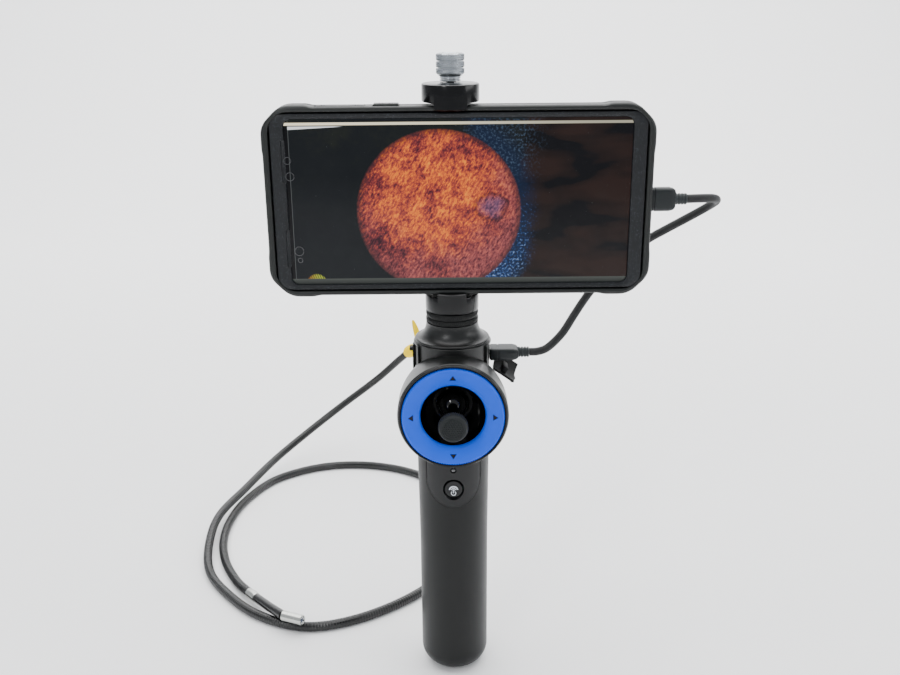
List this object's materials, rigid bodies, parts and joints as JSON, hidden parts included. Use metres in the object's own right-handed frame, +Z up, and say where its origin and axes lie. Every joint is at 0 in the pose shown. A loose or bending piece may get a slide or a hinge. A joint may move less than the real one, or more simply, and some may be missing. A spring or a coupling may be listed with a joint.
{
  "type": "handheld articulating inspection camera",
  "caption": "Handheld inspection camera with a thumb joystick, a steerable flexible probe and a clamped phone as its screen.",
  "frame": {"origin": "centre of the foot, on the surface that the grip stands on", "axes": "+Z up along the grip, the control and the screen face -Y, +X to the right of a person facing the screen"},
  "size_m": [0.2855, 0.3094, 0.3128],
  "materials": {
    "satin": "satin",
    "gloss": "gloss",
    "rubber": "matte",
    "anodised": "black anodised",
    "steel": "satin",
    "brass": "plain",
    "blue": "semi-gloss",
    "clear": "polished",
    "board": "matte",
    "cell": "satin",
    "tube": "ribbed",
    "braid": "braided",
    "plug": "matte",
    "yellow": "satin"
  },
  "bodies": {
    "handle": {"grip_front": "satin", "grip_rear": "satin", "head_front": "satin", "head_rear": "satin", "neck_cap": "satin", "button_panel": "gloss", "ring_bezel": "gloss", "joystick_bowl": "gloss", "foot_pad": "rubber", "exit_boot": "rubber", "bend_link_root": "rubber", "power_switch": "steel", "contact_spring": "steel", "gimbal_frame": "steel", "pull_wires": "steel", "usb_socket_left": "steel", "usb_socket_right": "steel", "exit_gland": "steel", "handle_plug_shell": "steel", "tip_ferrule": "steel", "status_light": "clear", "main_board": "board", "battery_holder": "board", "battery_cell": "cell", "insertion_tube": "tube", "usb_lead": "braid", "handle_plug": "plug", "tube_tag": "yellow"},
    "power_button": {"power_button": "gloss"},
    "direction_ring": {"direction_ring": "blue"},
    "gimbal": {"gimbal_ring": "steel"},
    "joystick": {"joystick": "gloss", "thumb_cap": "rubber", "wire_plate": "steel"},
    "cover_left": {"port_cover_left": "rubber"},
    "cover_right": {"port_cover_right": "rubber"},
    "lock_ring": {"lock_ring": "satin"},
    "holder": {"swivel_spindle": "steel", "lower_jaw": "anodised", "lower_pad": "rubber", "spine": "anodised", "screw_nut": "brass", "phone_case": "rubber", "case_frame": "gloss", "phone_body": "gloss", "phone_screen": "clear", "rear_camera": "clear", "phone_plug": "plug", "phone_plug_shell": "steel"},
    "volume_key": {"volume_key_cover": "rubber"},
    "power_key": {"power_key_cover": "rubber"},
    "upper_jaw": {"upper_jaw": "anodised"},
    "knob": {"clamp_screw": "steel", "clamp_knob": "steel", "knob_collar": "steel"},
    "tip_link": {"bend_link_middle": "rubber"},
    "tip": {"bend_link_end": "rubber", "tip_housing": "steel", "light_ring": "clear", "camera_lens": "clear"}
  },
  "joints": [
    {"name": "power_press", "type": "slide", "parent": "handle", "child": "power_button", "axis": [0, 1, 0], "range_m": [0, 0.0004], "stiffness_N_per_m": 600},
    {"name": "ring_turn", "type": "hinge", "parent": "handle", "child": "direction_ring", "pos_m": [0, -0.029, 0.1523], "axis": [0, 1, 0], "range_deg": [0, 30]},
    {"name": "joystick_yaw", "type": "hinge", "parent": "handle", "child": "gimbal", "pos_m": [0, -0.012, 0.1523], "axis": [0, 0, 1], "range_deg": [-22, 22], "stiffness_Nm_per_rad": 0.08},
    {"name": "joystick_pitch", "type": "hinge", "parent": "gimbal", "child": "joystick", "pos_m": [0, -0.012, 0.1523], "axis": [1, 0, 0], "range_deg": [-22, 22], "stiffness_Nm_per_rad": 0.08, "deforming": ["pull_wires"]},
    {"name": "cover_left_open", "type": "hinge", "parent": "handle", "child": "cover_left", "pos_m": [-0.0191, 0.0055, 0.1653], "axis": [0, -1, 0], "range_deg": [0, 120], "stiffness_Nm_per_rad": 0.002},
    {"name": "cover_right_swing", "type": "hinge", "parent": "handle", "child": "cover_right", "pos_m": [0.0191, 0.0055, 0.1653], "axis": [0, 1, 0], "range_deg": [-4, 30], "stiffness_Nm_per_rad": 0.002},
    {"name": "lock_ring_turn", "type": "hinge", "parent": "handle", "child": "lock_ring", "pos_m": [0, 0, 0.1903], "axis": [0, 0, 1], "range_deg": [0, 60]},
    {"name": "holder_swivel", "type": "hinge", "parent": "handle", "child": "holder", "pos_m": [0, 0, 0.19], "axis": [0, 0, 1], "range_deg": [-12, 12], "deforming": ["usb_lead"]},
    {"name": "upper_jaw_slide", "type": "slide", "parent": "holder", "child": "upper_jaw", "axis": [0, 0, 1], "range_m": [0, 0.005]},
    {"name": "knob_turn", "type": "hinge", "parent": "upper_jaw", "child": "knob", "pos_m": [0, 0.0078, 0.2923], "axis": [0, 0, 1], "range_deg": [0, 1440]},
    {"name": "volume_key_press", "type": "slide", "parent": "holder", "child": "volume_key", "axis": [0, 0, -1], "range_m": [0, 0.0003], "stiffness_N_per_m": 800},
    {"name": "power_key_press", "type": "slide", "parent": "holder", "child": "power_key", "axis": [0, 0, -1], "range_m": [0, 0.0003], "stiffness_N_per_m": 800},
    {"name": "tip_yaw", "type": "hinge", "parent": "handle", "child": "tip_link", "pos_m": [-0.1093, 0.0403, 0.006], "axis": [0, 0, 1], "range_deg": [-44, 44], "deforming": ["insertion_tube"]},
    {"name": "tip_pitch", "type": "hinge", "parent": "tip_link", "child": "tip", "pos_m": [-0.1015, 0.0308, 0.0076], "axis": [-0.7382, -0.6746, 0], "range_deg": [-44, 44]}
  ],
  "couplings": [
    {"joint": "knob_turn", "follows": "upper_jaw_slide", "rad_per_m": 5026.5},
    {"joint": "tip_yaw", "follows": "joystick_yaw", "ratio": 2},
    {"joint": "tip_pitch", "follows": "joystick_pitch", "ratio": 2}
  ]
}
